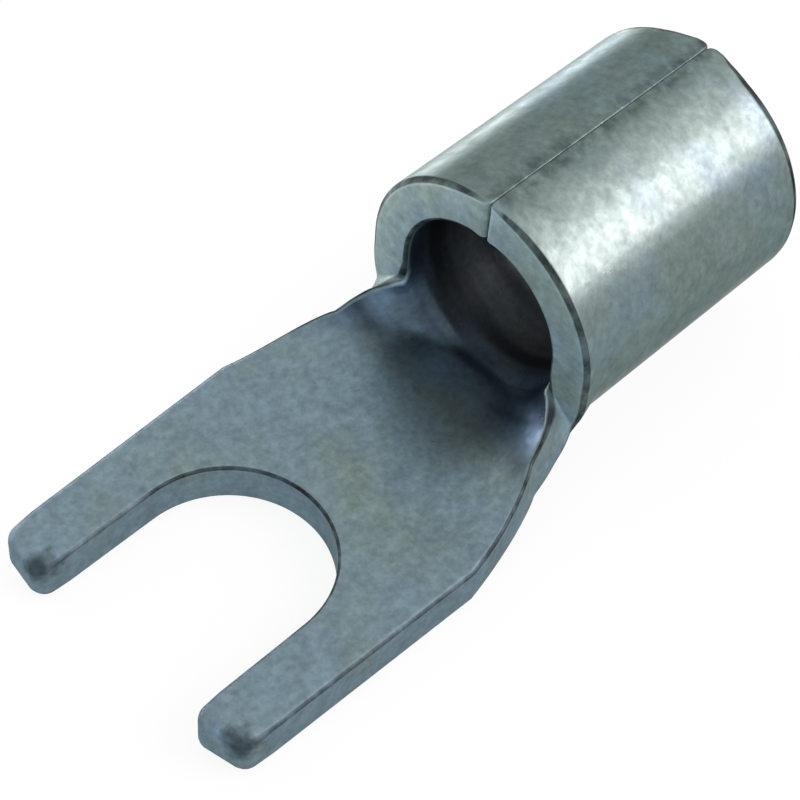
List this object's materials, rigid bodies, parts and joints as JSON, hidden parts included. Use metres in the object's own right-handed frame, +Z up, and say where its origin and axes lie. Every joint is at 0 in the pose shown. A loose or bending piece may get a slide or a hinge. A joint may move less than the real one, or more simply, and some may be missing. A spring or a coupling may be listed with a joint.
{
  "type": "fork terminal",
  "caption": "Uninsulated crimp terminal stamped from sheet, with an open fork that slides under a clamping screw and a rolled barrel for a stranded wire.",
  "frame": {"origin": "centre of the round end of the slot, on the underside of the fork", "axes": "+X from the fork towards the barrel's wire entry, +Z up out of the fork's top face, +Y across the prongs"},
  "size_m": [0.0204, 0.0088, 0.0073],
  "materials": {
    "tinned_copper": "satin electro-tinned copper, slightly mottled and pitted"
  },
  "bodies": {
    "root": {"terminal": "tinned_copper"}
  },
  "joints": []
}
